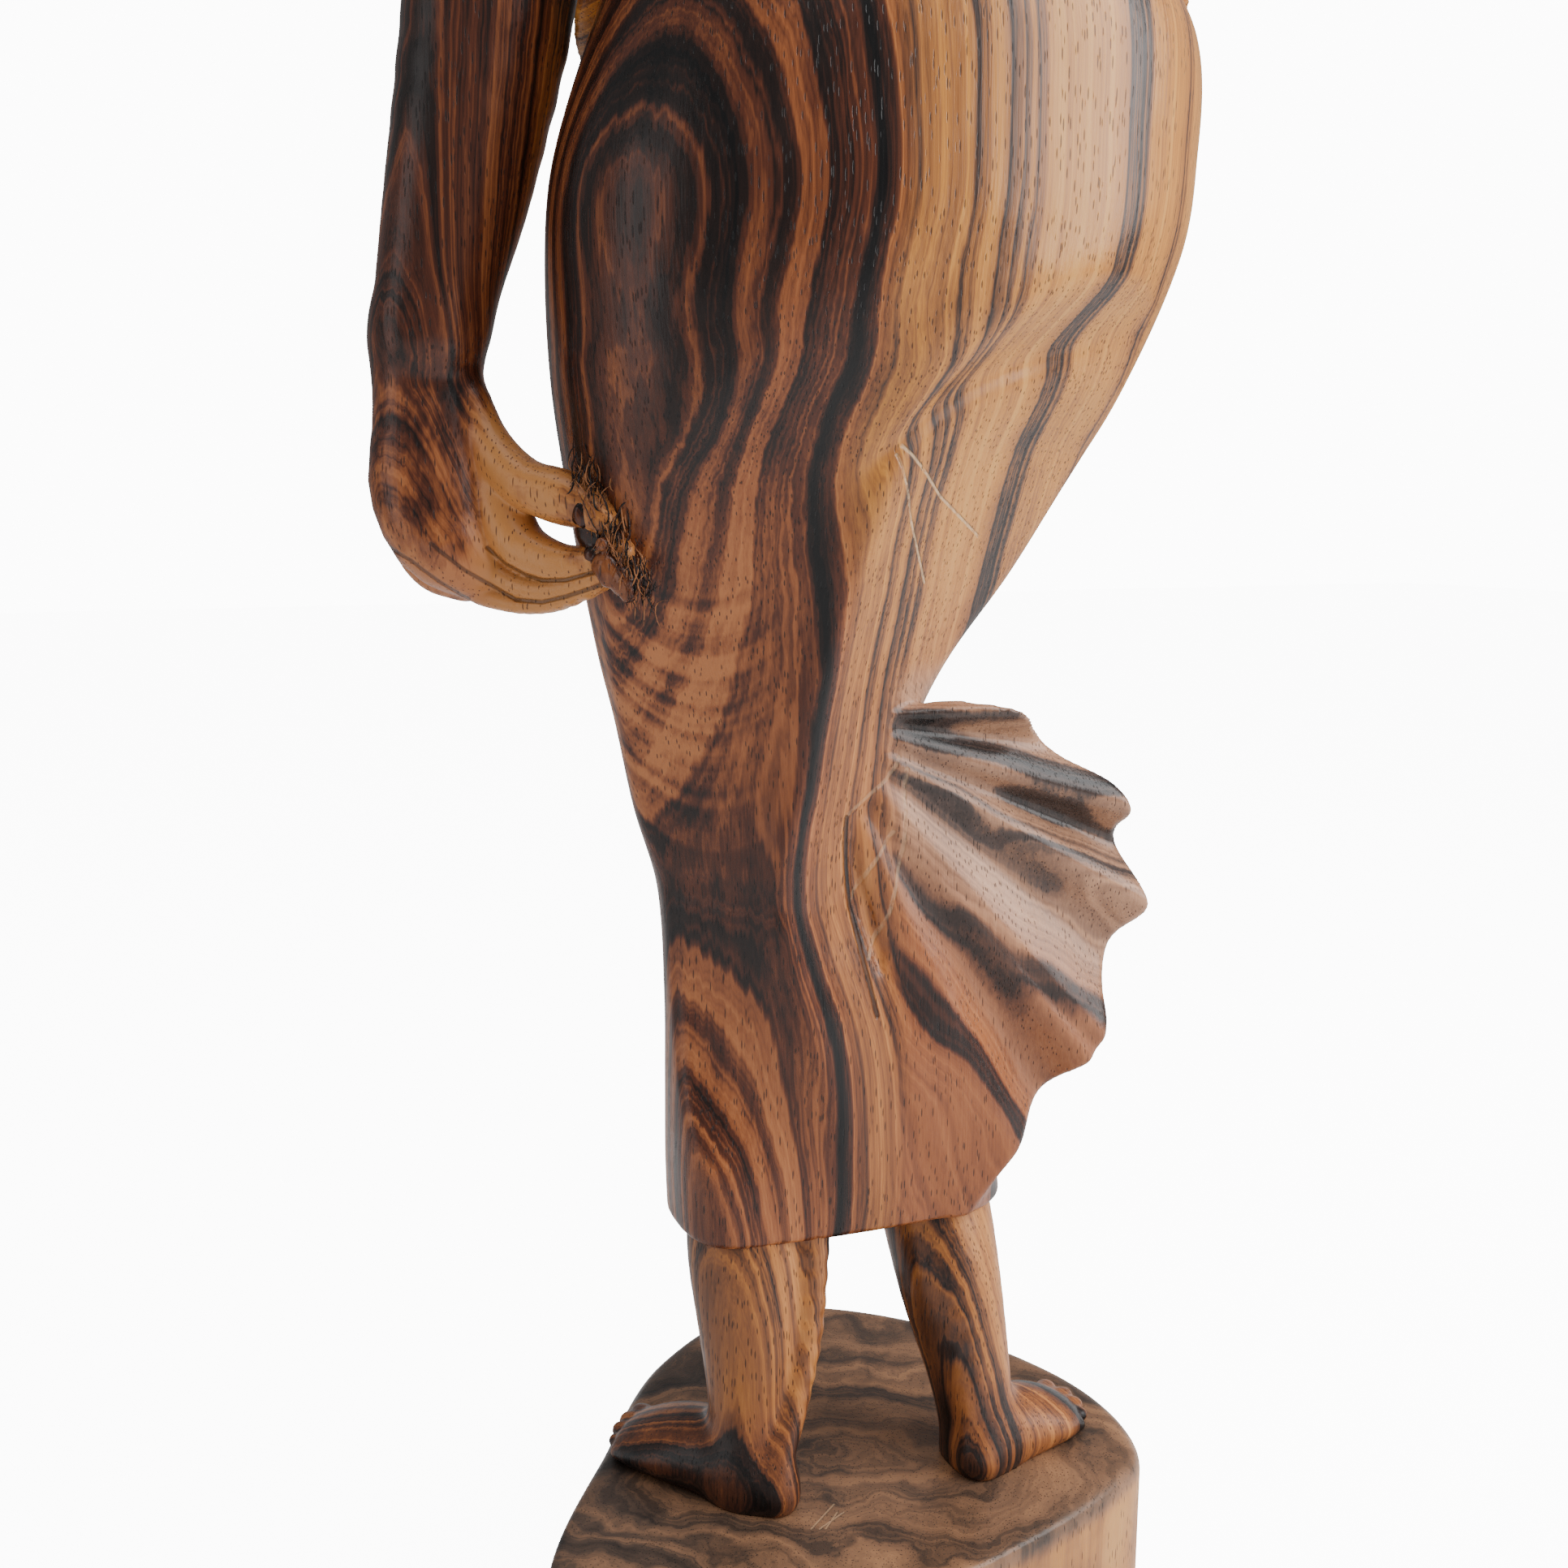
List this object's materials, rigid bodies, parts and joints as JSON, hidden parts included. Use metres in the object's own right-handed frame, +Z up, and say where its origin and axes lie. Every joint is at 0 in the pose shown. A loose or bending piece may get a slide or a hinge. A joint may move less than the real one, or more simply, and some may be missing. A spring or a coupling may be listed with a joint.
{
  "type": "carved wooden figurine",
  "caption": "Standing figure of a woman in a jacket and a tight sarong with a flared train, carved in striped hardwood on a log-slice plinth",
  "frame": {"origin": "centre of the plinth's flat underside", "axes": "+Z up; the figure faces -Y, so its own left side is +X"},
  "size_m": [0.1226, 0.089, 0.4034],
  "materials": {
    "polished_base_wood": "dark striped hardwood, polished end grain on top and satin sides",
    "striped_wood": "striped hardwood with orange and near-black bands, open pores, satin varnish",
    "dark_hair_wood": "the darkest bands of the same hardwood, finely combed, satin varnish",
    "old_glue": "hard dark glue with torn wood fibres"
  },
  "bodies": {
    "root": {"plinth": "polished_base_wood", "left_leg": "striped_wood", "right_leg": "striped_wood", "sarong": "striped_wood", "sarong_train": "striped_wood", "jacket": "striped_wood", "left_sleeve": "striped_wood", "right_sleeve": "striped_wood", "left_arm": "striped_wood", "right_arm": "striped_wood", "head": "striped_wood", "hair": "dark_hair_wood", "hair_bun": "dark_hair_wood", "glue_bead": "old_glue"}
  },
  "joints": []
}
